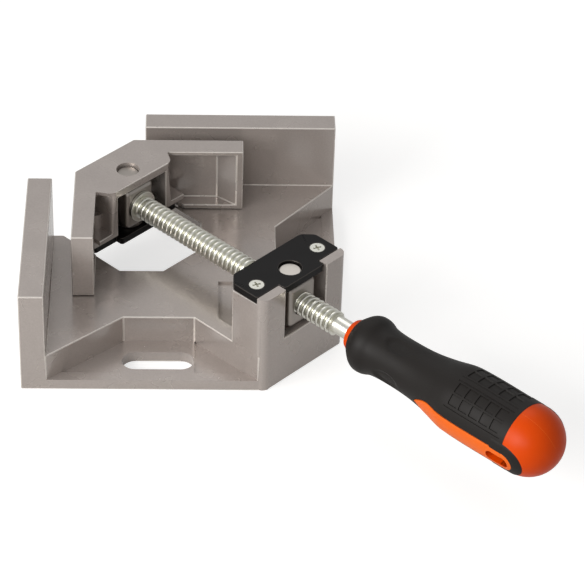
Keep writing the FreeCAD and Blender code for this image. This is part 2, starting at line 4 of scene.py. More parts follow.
import bmesh
import bpy
from mathutils import Matrix, Vector


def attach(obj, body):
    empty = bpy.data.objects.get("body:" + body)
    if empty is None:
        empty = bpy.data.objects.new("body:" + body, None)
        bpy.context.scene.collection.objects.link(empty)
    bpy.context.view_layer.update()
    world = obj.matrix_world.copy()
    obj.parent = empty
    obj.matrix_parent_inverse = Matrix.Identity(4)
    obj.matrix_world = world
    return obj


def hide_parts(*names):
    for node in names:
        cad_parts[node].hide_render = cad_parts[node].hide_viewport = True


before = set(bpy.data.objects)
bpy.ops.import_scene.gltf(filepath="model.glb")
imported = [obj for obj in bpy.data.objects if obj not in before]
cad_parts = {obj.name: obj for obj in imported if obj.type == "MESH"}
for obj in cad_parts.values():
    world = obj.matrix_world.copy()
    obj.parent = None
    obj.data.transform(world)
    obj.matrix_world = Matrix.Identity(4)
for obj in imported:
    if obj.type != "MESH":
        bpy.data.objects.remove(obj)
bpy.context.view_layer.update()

# The corner clamp's 14 CAD nodes, dressed for the render. The cast, stamped and block-shaped
# pieces keep their CAD shape and get rounds. The screw's thread and the screw heads come from
# geometry trees. The handle is built from its outline. Named sizes are in mm unless a comment
# says otherwise: distances along the screw from the fences' corner, offsets across, heights.
MM = 0.001
ROOT2 = math.sqrt(2)
ALONG = Vector((1, -1, 0)) / ROOT2
ACROSS = Vector((1, 1, 0)) / ROOT2
UP = Vector((0, 0, 1))
AXIS_Z = 25.4
MATH = "ShaderNodeMath"
# Points closer than this coincide; metres.
MERGE = 2e-6


def linear(value):
    if value <= 0.04045:
        return value / 12.92
    return ((value + 0.055) / 1.055) ** 2.4


def colour(code):
    """Linear colour with alpha from an sRGB hex code."""
    parts = [int(code[k:k + 2], 16) / 255 for k in (1, 3, 5)]
    return tuple(linear(p) for p in parts) + (1.0,)


def add(tree, kind, settings=None, *places, **names):
    """One node with its settings; inputs by place or name take a value, a socket or a node."""
    node = tree.nodes.new(kind)
    for key, value in (settings or {}).items():
        setattr(node, key, value)
    wanted = list(enumerate(places))
    wanted += [(key.replace("_", " "), value) for key, value in names.items()]
    for key, value in wanted:
        if isinstance(value, bpy.types.Node):
            value = value.outputs[0]
        if isinstance(value, bpy.types.NodeSocket):
            tree.links.new(value, node.inputs[key])
        else:
            node.inputs[key].default_value = value
    return node


def new_material(name):
    material = bpy.data.materials.new(name)
    material.use_nodes = True
    tree = material.node_tree
    shader = tree.nodes["Principled BSDF"]
    return material, tree, shader


def grain_bump(tree, shader, size_mm, height_mm):
    """Fine relief on the surface: grain of a real size, as bump."""
    place = add(tree, "ShaderNodeTexCoord")
    noise = add(tree, "ShaderNodeTexNoise", None, Vector=place.outputs["Object"],
                Scale=1.0 / (size_mm * MM), Detail=3.0)
    bump = add(tree, "ShaderNodeBump", None, Strength=1.0, Distance=height_mm * MM,
               Height=noise)
    tree.links.new(bump.outputs["Normal"], shader.inputs["Normal"])
    return place


def uneven_gloss(tree, shader, place, patch_mm, low, high):
    """Roughness that changes slowly over the surface."""
    noise = add(tree, "ShaderNodeTexNoise", None, Vector=place.outputs["Object"],
                Scale=1.0 / (patch_mm * MM), Detail=2.0)
    span = add(tree, "ShaderNodeMapRange", None, Value=noise, From_Min=0.3, From_Max=0.7,
               To_Min=low, To_Max=high)
    tree.links.new(span.outputs["Result"], shader.inputs["Roughness"])


def finish(name, code, grain, patch_mm, rough, **inputs):
    """Material of one colour with surface grain (size, height) and uneven gloss (low, high)."""
    material, tree, shader = new_material(name)
    shader.inputs["Base Color"].default_value = colour(code)
    for key, value in inputs.items():
        shader.inputs[key.replace("_", " ")].default_value = value
    place = grain_bump(tree, shader, *grain)
    uneven_gloss(tree, shader, place, patch_mm, *rough)
    return material


def cast_alloy(name, dark, pale, rough):
    """Die-cast aluminium under a silver-grey baked lacquer: satin, with a speckled skin."""
    material = finish(name, dark, (0.4, 0.005), 9.0, (rough - 0.04, rough + 0.04),
                      Metallic=0.5, Coat_Weight=0.6, Coat_Roughness=0.1)
    tree = material.node_tree
    place = add(tree, "ShaderNodeTexCoord")
    speckle = add(tree, "ShaderNodeTexNoise", None, Vector=place.outputs["Object"],
                  Scale=1.0 / (0.55 * MM), Detail=3.0)
    tone = add(tree, "ShaderNodeMapRange", None, Value=speckle, From_Min=0.3, From_Max=0.7)
    skin_colour = add(tree, "ShaderNodeMix", {"data_type": "RGBA"}, Factor=tone)
    for socket in skin_colour.inputs:
        if socket.type == "RGBA":
            socket.default_value = colour(dark if socket.name == "A" else pale)
    for socket in skin_colour.outputs:
        if socket.type == "RGBA":
            tree.links.new(socket, tree.nodes["Principled BSDF"].inputs["Base Color"])
    return material


ALLOY = cast_alloy("lacquered_die_cast_aluminium", "#ADA49E", "#B5ACA6", 0.25)
# The rounds of the casting get a paler copy of the lacquer: a painted edge highlight.
ALLOY_EDGE_HIGHLIGHT = cast_alloy("die_cast_aluminium_painted_edge_highlight", "#CEC7C0", "#D6CFC8", 0.3)

# Stamped steel, black oxide with oil, and a paler, metallic copy of it for its rounds: a
# painted edge highlight.
OXIDE = {"grain": (0.25, 0.004), "patch_mm": 6.0, "rough": (0.28, 0.36),
         "Specular_IOR_Level": 0.15}
BLACK = finish("black_oxide_steel", "#0F0D0D", Metallic=0.0, **OXIDE)
BLACK_EDGE_HIGHLIGHT = finish("black_oxide_steel_painted_edge_highlight", "#4A4643", Metallic=1.0, **OXIDE)

# Steel with bright zinc plating: pale, slightly yellow-green, glossy.
ZINC = finish("bright_zinc_plate", "#DEDDD4", (0.4, 0.003), 4.0, (0.26, 0.34), Metallic=1.0)

# Steel blocks, satin: phosphated all over, or bare where a pin's end was turned last.
SATIN = {"grain": (0.3, 0.004), "patch_mm": 5.0, "rough": (0.36, 0.44), "Metallic": 1.0}
BLOCK = finish("phosphated_steel", "#9E9892", **SATIN)
TURNED = finish("turned_bare_steel", "#D0CAC3", **SATIN)

# Moulded polypropylene: saturated orange, soft gloss, slightly translucent. A paler copy of it
# is painted light on the strips.
MOULDED = {"grain": (0.8, 0.004), "patch_mm": 7.0, "rough": (0.34, 0.42), "IOR": 1.49,
           "Specular_IOR_Level": 0.16, "Subsurface_Weight": 0.05, "Subsurface_Scale": 1.0,
           "Subsurface_Radius": (0.0012, 0.0005, 0.0002)}
ORANGE = finish("moulded_polypropylene", "#DA4700", **MOULDED)
ORANGE_PAINTED_LIGHT = finish("moulded_polypropylene_painted_light", "#EC6A1E", **MOULDED)

# Moulded thermoplastic elastomer: near black, fine spark-eroded texture.
GRIP = finish("moulded_elastomer", "#1E1B19", (0.3, 0.012), 8.0, (0.5, 0.58), IOR=1.5,
              Specular_IOR_Level=0.2)


def place_piece(obj, body, material, nodes, painted=False):
    """Hands a finished piece to the frame; a painted one brings its own materials."""
    if not painted:
        obj.data.materials.clear()
        obj.data.materials.append(material)
    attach(obj, body)
    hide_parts(*nodes)


def object_from(name, data):
    obj = bpy.data.objects.new(name, data)
    bpy.context.scene.collection.objects.link(obj)
    return obj


def baked(obj, name):
    """Plain mesh of an object with its modifiers carried out."""
    bpy.context.view_layer.update()
    shown = obj.evaluated_get(bpy.context.evaluated_depsgraph_get())
    mesh = bpy.data.meshes.new_from_object(shown)
    mesh.name = name
    bpy.data.objects.remove(obj)
    return object_from(name, mesh)


@contextlib.contextmanager
def editing(mesh):
    """A bmesh of the mesh, written back at the end."""
    bm = bmesh.new()
    bm.from_mesh(mesh)
    yield bm
    bm.to_mesh(mesh)
    bm.free()


def shade(mesh, sharp_degrees=30.0):
    """Smooth shading that keeps the edges steeper than the given angle."""
    limit = math.radians(sharp_degrees)
    with editing(mesh) as bm:
        for face in bm.faces:
            face.smooth = True
        for edge in bm.edges:
            edge.smooth = len(edge.link_faces) == 2 and edge.calc_face_angle(0.0) < limit


def fix_normals(mesh, merge=MERGE):
    """Joins points that coincide and turns all faces outwards."""
    with editing(mesh) as bm:
        bmesh.ops.remove_doubles(bm, verts=bm.verts, dist=merge)
        bmesh.ops.recalc_face_normals(bm, faces=bm.faces)


def mesh_from(name, points, faces):
    mesh = bpy.data.meshes.new(name)
    mesh.from_pydata([tuple(p) for p in points], [], faces)
    mesh.update()
    return mesh


def solid_from(name, points, faces, merge=MERGE):
    mesh = mesh_from(name, points, faces)
    fix_normals(mesh, merge)
    return object_from(name, mesh)


def join(name, objects):
    """One object from several meshes."""
    mesh = bpy.data.meshes.new(name)
    with editing(mesh) as bm:
        for obj in objects:
            bm.from_mesh(obj.data)
    for obj in objects:
        bpy.data.objects.remove(obj)
    return object_from(name, mesh)


def on_axis(distance, radius, degrees):
    """Point round the screw axis; 0 degrees is up, positive turns to the right side."""
    a = math.radians(degrees)
    centre = ALONG * distance + UP * AXIS_Z
    return (centre + (UP * math.cos(a) + ACROSS * math.sin(a)) * radius) * MM


def add_points(points, new):
    """Appends the points and returns their numbers."""
    first = len(points)
    points.extend(new)
    return list(range(first, len(points)))


def band(low, high, closed=True):
    """Four-sided faces between two rows of points."""
    after = low[1:] + low[:1], high[1:] + high[:1]
    faces = list(zip(low, after[0], after[1], high))
    return faces if closed else faces[:-1]


def turned(name, profile, steps):
    """Round solid about the screw axis from (distance, radius) corners."""
    points = []
    rings = []
    for distance, radius in profile:
        if radius > 0.0:
            rings.append(add_points(points, [
                on_axis(distance, radius, 360.0 * k / steps) for k in range(steps)]))
        else:
            rings.append(add_points(points, [on_axis(distance, 0.0, 0.0)]) * steps)
    faces = []
    for low, high in zip(rings, rings[1:]):
        for face in band(low, high):
            corners = list(dict.fromkeys(face))
            if len(corners) > 2:
                faces.append(corners)
    for ring in (rings[0], rings[-1]):
        if len(set(ring)) > 1:
            faces.append(ring)
    return solid_from(name, points, faces)


# Pieces that keep their CAD shape. Which edges are long, which faces broad, and the heights
# between which the flanges' edges lie, in metres and square metres.
LONG_EDGE = 0.005
BROAD_FACE = 3.5e-5
FLANGE_Z = (0.003, 0.0042)
# How near a corner's edge stands to its spot (metres), and how upright an outline's edge is.
CORNER_REACH = 0.0004
UPRIGHT = 0.98
# Facets that turn by less than this are one face; edges that turn by more get a round.
FLAT = math.radians(0.6)
CORNER = math.radians(30)
STEEP = math.radians(32)
# Material places of such a piece: its faces, its rounds and a pin's bare end. On the alloy and
# the black steel the rounds carry a painted edge highlight.
ROUND_PLACE = 1
BARE_PLACE = 2
# Paler copy of the piece's material for its rounds, where the piece has one: a painted edge
# highlight.
ROUND_HIGHLIGHTS = {ALLOY: ALLOY_EDGE_HIGHLIGHT, BLACK: BLACK_EDGE_HIGHLIGHT}
# Height above which an upward face is a turned pin's bare end.
BARE_ABOVE = {"trunnion_nut": 35.3}


def drop_slivers(mesh):
    """Takes out the faces without area that a clamped round leaves."""
    with editing(mesh) as bm:
        bmesh.ops.dissolve_degenerate(bm, dist=MERGE, edges=bm.edges)


def settle_normals(mesh, limit_degrees=40.0):
    """Corner normals that lean on broad neighbours: flats stay flat, rounds stay smooth."""
    limit = math.cos(math.radians(limit_degrees))
    around = [[] for vertex in mesh.vertices]
    for face in mesh.polygons:
        for index in face.vertices:
            around[index].append((face.normal.copy(), face.area))
    normals = []
    for face in mesh.polygons:
        face.use_smooth = True
        for index in face.vertices:
            total = Vector((0.0, 0.0, 0.0))
            for normal, area in around[index]:
                if normal.dot(face.normal) > limit:
                    total += normal * area
            normals.append(total.normalized())
    mesh.normals_split_custom_set(normals)


def upright_edges(bm, distance, side):
    """Upright edges that stand over one spot of the bed."""
    spot = (ALONG * distance + ACROSS * side) * MM
    return [edge for edge in bm.edges
            if all((v.co - spot).xy.length < CORNER_REACH for v in edge.verts)]


def outer_uprights(bm):
    """Upright edges at the corners of a plate's outline."""
    return [edge for edge in bm.edges
            if abs((edge.verts[0].co - edge.verts[1].co).z) > UPRIGHT * edge.calc_length()
            and len(edge.link_faces) == 2 and edge.calc_face_angle(0.0) > CORNER
            and edge.is_convex]


def main_edges(bm):
    """Long edges between two broad faces, apart from those round the thin flanges."""
    return [edge for edge in bm.edges
            if edge.calc_length() > LONG_EDGE and len(edge.link_faces) == 2
            and edge.calc_face_angle(0.0) > STEEP
            and min(face.calc_area() for face in edge.link_faces) > BROAD_FACE
            and not all(FLANGE_Z[0] < v.co.z < FLANGE_Z[1] for v in edge.verts)]


def round_off(bm, edges, radius_mm, segments=5, **settings):
    bmesh.ops.bevel(bm, geom=edges, affect="EDGES", offset=radius_mm * MM,
                    segments=segments, profile=0.5, **settings)


def rounded_copy(node, material, small_mm, main_mm=0.0, plate_mm=0.0, corners=()):
    """Copy of a CAD piece with merged faces and rounds.

    All edges get the small round, and long ones between broad faces the main round. The
    uprights of a plate's outline get their own, and so do corners (distance, side, radius).
    """
    bm = bmesh.new()
    bm.from_mesh(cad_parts[node].data)
    bmesh.ops.remove_doubles(bm, verts=bm.verts, dist=MERGE)
    bmesh.ops.dissolve_limit(bm, angle_limit=FLAT, verts=bm.verts, edges=bm.edges)
    if plate_mm > 0:
        round_off(bm, outer_uprights(bm), plate_mm)
    for distance, side, radius in corners:
        round_off(bm, upright_edges(bm, distance, side), radius)
    for face in bm.faces:
        face.material_index = 0
    if main_mm > 0:
        round_off(bm, main_edges(bm), main_mm, 3, clamp_overlap=False,
                  material=ROUND_PLACE)
    mesh = bpy.data.meshes.new(node + "_shape")
    bm.to_mesh(mesh)
    bm.free()
    # The rounds' slot takes the paler copy with the painted edge highlight, where the piece has
    # one.
    for slot in (material, ROUND_HIGHLIGHTS.get(material, material), TURNED):
        mesh.materials.append(slot)
    obj = object_from(node + "_shape", mesh)
    bevel = obj.modifiers.new("rounds", "BEVEL")
    bevel.material = ROUND_PLACE
    bevel.width = small_mm * MM
    bevel.segments = 3
    bevel.limit_method = "ANGLE"
    bevel.angle_limit = STEEP
    obj = baked(obj, node + "_finished")
    drop_slivers(obj.data)
    settle_normals(obj.data)
    bare_z = BARE_ABOVE.get(node, math.inf) * MM
    for face in obj.data.polygons:
        if face.center.z > bare_z and face.normal.z > 0.9:
            face.material_index = BARE_PLACE
    return obj


# Corners of the jaw's housing as (distance, side, radius).
HOUSING_CORNERS = ((42.0, -13.5, 1.6), (42.0, 13.5, 1.6), (37.0, -16.36, 0.8),
                   (37.0, 16.36, 0.8))
for node, body, material, small, rounds in (
        ("base_casting", "base", ALLOY, 0.2, {"main_mm": 0.35}),
        ("jaw_casting", "jaw", ALLOY, 0.2, {"main_mm": 0.35, "corners": HOUSING_CORNERS}),
        ("pedestal_top_plate", "base", BLACK, 0.25, {"plate_mm": 1.0}),
        ("jaw_bottom_plate", "jaw", BLACK, 0.25, {"plate_mm": 1.0}),
        ("trunnion_nut", "nut", BLOCK, 0.2, {"main_mm": 0.6}),
        ("jaw_swivel_block", "carriage", BLOCK, 0.2, {"main_mm": 0.6}),
        ("front_thrust_washer", "screw", ZINC, 0.15, {}),
        ("back_thrust_washer", "screw", ZINC, 0.15, {}),
        ("screw_retaining_ring", "screw", BLACK, 0.1, {})):
    place_piece(rounded_copy(node, material, small, **rounds), body, material, [node],
                painted=True)


def new_tree(name, **inputs):
    """Geometry tree with one mesh output and inputs of the named kinds, and their sockets."""
    tree = bpy.data.node_groups.new(name, "GeometryNodeTree")
    tree.interface.new_socket("Mesh", in_out="OUTPUT", socket_type="NodeSocketGeometry")
    for title, kind in inputs.items():
        tree.interface.new_socket(title, in_out="INPUT", socket_type="NodeSocket" + kind)
    return tree, tree.nodes.new("NodeGroupInput").outputs


def run_tree(name, tree, values):
    """Mesh made by a geometry tree, with its inputs set by identifier."""
    holder = object_from(name + "_source", bpy.data.meshes.new(name + "_seed"))
    modifier = holder.modifiers.new("shape", "NODES")
    modifier.node_group = tree
    for item in tree.interface.items_tree:
        if item.item_type == "SOCKET" and item.in_out == "INPUT":
            modifier[item.identifier] = values[item.name]
    return baked(holder, name)


# Lead screw.
THREAD_START = 42.5
THREAD_END = 131.7
THREAD_R = 4.0
THREAD_DEPTH = 1.1
THREAD_STEPS = 48
THREAD_SHARP = 24.0
PITCH = 2.0
# The thread's ends stand back from the shoulder and from the shank, and the rod's core stays
# just inside the thread's root.
RUN_IN = 0.05
RUN_OUT = 0.6
CORE_GAP = 0.05
NECK_START = 26.5
NECK_R = 2.53
NECK_CHAMFER = 0.4
SHANK_R = 3.0
SHANK_END = 141.0
ROD_STEPS = 64
# Depth along one pitch as (share of the pitch, share of the height): root, flank, crest.
THREAD_FORM = ((0.15, 0.0), (0.32, 0.85), (0.49, 1.0), (0.66, 1.0), (0.83, 0.85))
ROWS_PER_LAP = len(THREAD_FORM) + 1
# From the thread's own axes (x along, y up, z across) to the screw line.
SCREW_PLACE = Matrix((
    (ALONG.x, UP.x, ACROSS.x, 0.0),
    (ALONG.y, UP.y, ACROSS.y, 0.0),
    (ALONG.z, UP.z, ACROSS.z, AXIS_Z * MM),
    (0.0, 0.0, 0.0, 1.0)))


def thread_tree():
    """Helical trapezoidal thread: a flat grid rolled round the axis."""
    tree, value = new_tree("helical_thread", Before="Float", Start="Float", End="Float",
                           Pitch="Float", Radius="Float", Depth="Float", Steps="Int",
                           Rows="Int")
    columns = add(tree, MATH, {"operation": "ADD"}, value["Steps"], 1)
    grid = add(tree, "GeometryNodeMeshGrid", None, Vertices_X=value["Rows"],
               Vertices_Y=columns)
    index = add(tree, "GeometryNodeInputIndex")
    row = add(tree, MATH, {"operation": "DIVIDE"}, index, columns)
    row = add(tree, MATH, {"operation": "FLOOR"}, row)
    column = add(tree, MATH, {"operation": "MULTIPLY"}, row, columns)
    column = add(tree, MATH, {"operation": "SUBTRACT"}, index, column)
    turn = add(tree, MATH, {"operation": "DIVIDE"}, column, value["Steps"])
    lap = add(tree, MATH, {"operation": "DIVIDE"}, row, ROWS_PER_LAP)
    # A thousandth of a lap keeps each row on its own side of the jump from 1 to 0.
    share = add(tree, MATH, {"operation": "ADD"}, lap, 0.001)
    share = add(tree, MATH, {"operation": "FRACT"}, share)
    form = add(tree, "ShaderNodeFloatCurve", None, Value=share)
    points = form.mapping.curves[0].points
    points[0].location = (0.0, 0.0)
    points[1].location = (1.0, 0.0)
    for spot in THREAD_FORM:
        points.new(*spot)
    for point in points:
        point.handle_type = "VECTOR"
    form.mapping.update()
    along = add(tree, MATH, {"operation": "ADD"}, lap, turn)
    along = add(tree, MATH, {"operation": "MULTIPLY_ADD"}, along, value["Pitch"],
                value["Before"])
    along = add(tree, MATH, {"operation": "MAXIMUM"}, along, value["Start"])
    along = add(tree, MATH, {"operation": "MINIMUM"}, along, value["End"])
    hollow = add(tree, MATH, {"operation": "SUBTRACT"}, 1.0, form)
    hollow = add(tree, MATH, {"operation": "MULTIPLY"}, hollow, value["Depth"])
    radius = add(tree, MATH, {"operation": "SUBTRACT"}, value["Radius"], hollow)
    angle = add(tree, MATH, {"operation": "MULTIPLY"}, turn, 2 * math.pi)
    side = add(tree, MATH, {"operation": "COSINE"}, angle)
    side = add(tree, MATH, {"operation": "MULTIPLY"}, radius, side)
    rise = add(tree, MATH, {"operation": "SINE"}, angle)
    rise = add(tree, MATH, {"operation": "MULTIPLY"}, radius, rise)
    position = add(tree, "ShaderNodeCombineXYZ", None, along, side, rise)
    moved = add(tree, "GeometryNodeSetPosition", None, Geometry=grid, Position=position)
    joined = add(tree, "GeometryNodeMergeByDistance", None, Geometry=moved, Distance=3e-6)
    add(tree, "NodeGroupOutput", None, joined)
    return tree


def close_ends(mesh, ends):
    """Plain end faces instead of the folded rows of the thread's first and last laps."""
    with editing(mesh) as bm:
        folded = [face for face in bm.faces
                  if any(all(abs(v.co.x - end) < 1e-6 for v in face.verts) for end in ends)]
        bmesh.ops.delete(bm, geom=folded, context="FACES")
        rim = [edge for edge in bm.edges if edge.is_boundary]
        bmesh.ops.edgeloop_fill(bm, edges=rim)


def make_screw():
    """Lead screw: the thread round a rod with neck, root and shank."""
    laps = math.ceil((THREAD_END - THREAD_START) / PITCH) + 1
    start = (THREAD_START + RUN_IN) * MM
    end = (THREAD_END - RUN_OUT) * MM
    thread = run_tree("thread", thread_tree(), {
        "Before": (THREAD_START - PITCH) * MM, "Start": start, "End": end,
        "Pitch": PITCH * MM, "Radius": THREAD_R * MM, "Depth": THREAD_DEPTH * MM,
        "Steps": THREAD_STEPS, "Rows": laps * ROWS_PER_LAP + 1})
    close_ends(thread.data, (start, end))
    thread.data.transform(SCREW_PLACE)
    fix_normals(thread.data)
    root = THREAD_R - THREAD_DEPTH
    core = root - CORE_GAP
    # A chamfered neck, a bevelled shoulder, the core and a cone where the thread runs out.
    rod = turned("rod", [
        (NECK_START, 0.0), (NECK_START, NECK_R - NECK_CHAMFER),
        (NECK_START + NECK_CHAMFER, NECK_R), (THREAD_START, NECK_R),
        (THREAD_START, THREAD_R - 0.5), (THREAD_START + 0.3, THREAD_R - 0.4),
        (THREAD_START + 0.5, core), (THREAD_END - 2 * RUN_OUT, core),
        (THREAD_END - RUN_OUT, root + 0.2), (THREAD_END, SHANK_R), (SHANK_END, SHANK_R),
        (SHANK_END, 0.0)], ROD_STEPS)
    screw = join("lead_screw_threaded", [thread, rod])
    shade(screw.data, THREAD_SHARP)
    place_piece(screw, "screw", ZINC, ["lead_screw"])


make_screw()

# Countersunk screws of the two plates.
BOLT_SIDE = 14.0
HEAD_R = 2.4
HEAD_H = 1.2
HEAD_FOOT_R = 1.25
HEAD_STEPS = 40
# The cross: wing length and width as shares of the radius, depth as a share of the height.
WING_LONG = 1.15
WING_WIDE = 0.26
WING_DEEP = 1.4
CROSS_TURN = math.radians(22)


def head_tree():
    """Countersunk heads with a cross recess at two points."""
    tree, value = new_tree("cross_heads", Radius="Float", Height="Float", Foot="Float",
                           Left="Vector", Right="Vector", Flip="Float")
    cone = add(tree, "GeometryNodeMeshCone", None, Vertices=HEAD_STEPS,
               Radius_Top=value["Radius"], Radius_Bottom=value["Foot"],
               Depth=value["Height"])
    wing_long = add(tree, MATH, {"operation": "MULTIPLY"}, value["Radius"], WING_LONG)
    wing_wide = add(tree, MATH, {"operation": "MULTIPLY"}, value["Radius"], WING_WIDE)
    deep = add(tree, MATH, {"operation": "MULTIPLY"}, value["Height"], WING_DEEP)
    up = add(tree, "ShaderNodeCombineXYZ", None, Z=value["Height"])
    wings = add(tree, "GeometryNodeJoinGeometry")
    for size_x, size_y in ((wing_wide, wing_long), (wing_long, wing_wide)):
        size = add(tree, "ShaderNodeCombineXYZ", None, size_x, size_y, deep)
        cube = add(tree, "GeometryNodeMeshCube", None, Size=size)
        raised = add(tree, "GeometryNodeTransform", None, Geometry=cube, Translation=up)
        tree.links.new(raised.outputs[0], wings.inputs[0])
    cut = add(tree, "GeometryNodeMeshBoolean", {"operation": "DIFFERENCE", "solver": "EXACT"},
              cone, wings, Self_Intersection=True)
    turn = add(tree, "ShaderNodeCombineXYZ", None, X=value["Flip"], Z=CROSS_TURN)
    both = add(tree, "GeometryNodeJoinGeometry")
    for name in ("Right", "Left"):
        placed = add(tree, "GeometryNodeTransform", None, Geometry=cut,
                     Translation=value[name], Rotation=turn)
        tree.links.new(placed.outputs[0], both.inputs[0])
    add(tree, "NodeGroupOutput", None, both)
    return tree


HEADS = head_tree()


def make_heads(node, body, distance, top_z, upward):
    """The pair of heads of one plate; top_z is the height of their flat tops."""
    base = top_z - HEAD_H if upward else top_z + HEAD_H
    left, right = (tuple((ALONG * distance + ACROSS * side + UP * base) * MM)
                   for side in (-BOLT_SIDE, BOLT_SIDE))
    obj = run_tree(node + "_heads", HEADS, {
        "Radius": HEAD_R * MM, "Height": HEAD_H * MM, "Foot": HEAD_FOOT_R * MM,
        "Left": left, "Right": right, "Flip": 0.0 if upward else math.pi})
    shade(obj.data)
    place_piece(obj, body, ZINC, [node])


make_heads("pedestal_plate_screws", "base", 108.6, 36.38, True)
make_heads("jaw_plate_screws", "jaw", 33.9, 13.67, False)

# Handle: the angles of the orange strips and of the mould's seam, round the screw axis. Both
# halves of the handle are alike.
STRIP_ANGLE = -105.0
SEAM_ANGLE = -15.0
HALF_TURNS = (0.0, 180.0)
COLLAR_START = 138.0
GRIP_START = 140.2
GRIP_END = 208.3
DOME_MIDDLE = 210.0
DOME_R = 11.38
# Outline of the grip as (distance, radius).
GRIP_PROFILE = (
    (140.2, 5.9), (140.8, 6.8), (141.8, 7.7), (143.0, 8.75), (144.3, 9.45), (145.6, 9.7),
    (147.0, 9.62), (148.2, 9.3), (149.4, 8.8), (150.6, 8.48), (152.5, 8.22), (155.0, 8.07),
    (159.0, 8.03), (163.0, 8.1), (166.6, 8.3), (169.5, 8.6), (172.0, 8.98), (175.0, 9.52),
    (177.3, 10.0), (180.0, 10.65), (182.7, 11.2), (185.0, 11.4), (207.0, 11.45),
    (208.1, 11.45), (208.3, 11.3))
# Bore of the grip at its two ends.
GRIP_BORE_R = 5.5
GRIP_REAR_BORE_R = 8.0
# Outline of the core up to the dome: collar, stem under the grip, and the dome's foot.
CORE_PROFILE = [
    (COLLAR_START, 3.1), (COLLAR_START, 4.5), (COLLAR_START + 0.25, 5.0),
    (COLLAR_START + 0.8, 5.3), (GRIP_START + 1.0, 5.3), (GRIP_START + 1.0, 5.0),
    (180.0, 5.0), (184.0, 7.4), (GRIP_END - 0.4, 7.4), (GRIP_END - 0.4, 11.1),
    (GRIP_END + 0.05, DOME_R)]
CORE_STEPS = 128
DOME_STEP = 3
# The skin under the relief and the pads leaves out the round of the grip's last lip.
FULL_END = 208.0

# Sunk squares and border lines of the grip; rows are angles.
SQUARE = 3.3
SQUARE_PITCH = 4.1
SQUARE_FIRST = 187.4
SQUARE_COUNT = 5
SQUARE_ROWS = (-52.5, -32.0, 2.0, 22.5)
SQUARE_HALF_ANGLE = 8.4
SQUARE_DEPTH = 0.34
LINE_ROWS = (-66.0, -19.5, -10.5, 36.0)
LINE_START = 184.6
LINE_STOP = 206.6
LINE_HALF_ANGLE = 0.9
LINE_DEPTH = 0.22
# Rows, half angle, middles, half length and depth of each kind of relief.
RELIEF = (
    (SQUARE_ROWS, SQUARE_HALF_ANGLE,
     [SQUARE_FIRST + k * SQUARE_PITCH for k in range(SQUARE_COUNT)], SQUARE / 2,
     SQUARE_DEPTH),
    (LINE_ROWS, LINE_HALF_ANGLE, [(LINE_START + LINE_STOP) / 2],
     (LINE_STOP - LINE_START) / 2, LINE_DEPTH))
# Width of the relief's walls, along the handle and as an angle.
WALL = 0.12
WALL_ANGLE = 0.6
# Thumb dimples: flat-bottomed bowls in four places round the waist.
DIMPLE_TURNS = (0.0, 90.0, 180.0, 270.0)
DIMPLE_MIDDLE = 158.6
DIMPLE_HALF = 5.2
DIMPLE_HALF_ANGLE = 21.0
DIMPLE_DEPTH = 0.65
DIMPLE_SLOPE = 1.8
# The grip's mesh: spacing of its rings at the waist and where the squares are, spacing of its
# lines in degrees, rings that keep both lips crisp, and how many degrees to each side of a
# strip have a line of their own.
SQUARES_START = 184
WAIST_STEP = 0.6
SQUARES_STEP = 0.9
ANGLE_STEP = 3.0
LIP_RINGS = (140.35, 140.5, 208.1, 208.2, GRIP_END)
STRIP_REACH = 24

STRIP_START = 171.5
STRIP_FULL = 179.0
STRIP_END = 212.4
STRIP_HALF = 3.55
STRIP_TIP_POWER = 0.9
STRIP_HEIGHT = 0.2
STRIP_DEPTH = 5.5
# The seat sunk into the grip round each strip.
SEAT_GROW = 0.25
SEAT_DEPTH = 0.9
SEAT_WALL = 0.2
# The grip's thin lobe round each strip's end, on the dome.
LOBE_START = 204.0
LOBE_GROW = 3.2
LOBE_HEIGHT = 0.12
LOBE_DEPTH = 2.0
# The rim of such a pad falls off over this width, by this much.
RIM_WIDE = 0.35
RIM_DROP = 0.18
# The mould's parting line over the dome.
PARTING_HALF = 0.16
PARTING_HEIGHT = 0.03
PARTING_DEPTH = 0.5

SLOT_MIDDLE = 206.9
SLOT_LONG = 8.4
SLOT_WIDE = 3.8
SLOT_REACH = 16.0
SLOT_STEPS = 24
# The soft grip stands back this far from the slot in the hard core.
SLOT_MARGIN = 0.35


def smooth_radius(profile, distance):
    """Smooth curve through the outline's points that keeps its highs and lows."""
    if distance <= profile[0][0]:
        return profile[0][1]
    for k in range(len(profile) - 1):
        x0, y0 = profile[k]
        x1, y1 = profile[k + 1]
        if distance <= x1:
            slope_0 = slope_1 = (y1 - y0) / (x1 - x0)
            if k > 0:
                before = (y0 - profile[k - 1][1]) / (x0 - profile[k - 1][0])
                slope_0 = (before + slope_0) / 2 if before * slope_0 > 0 else 0.0
            if k < len(profile) - 2:
                after = (profile[k + 2][1] - y1) / (profile[k + 2][0] - x1)
                slope_1 = (after + slope_1) / 2 if after * slope_1 > 0 else 0.0
            t = (distance - x0) / (x1 - x0)
            h = x1 - x0
            return ((2 * t**3 - 3 * t**2 + 1) * y0 + (t**3 - 2 * t**2 + t) * h * slope_0
                    + (3 * t**2 - 2 * t**3) * y1 + (t**3 - t**2) * h * slope_1)
    return profile[-1][1]


def skin(distance):
    """Outer radius of the handle without its relief, dome included."""
    if distance <= GRIP_END:
        return smooth_radius(GRIP_PROFILE, min(distance, FULL_END))
    past = max(distance - DOME_MIDDLE, 0.0)
    return math.sqrt(max(DOME_R**2 - past**2, 0.0))


def wrapped(angle):
    return (angle + 180.0) % 360.0 - 180.0


def step_in(value, edge, wall):
    """0 outside an edge, 1 inside it, with a steep wall."""
    return min(max((edge - abs(value)) / wall + 0.5, 0.0), 1.0)


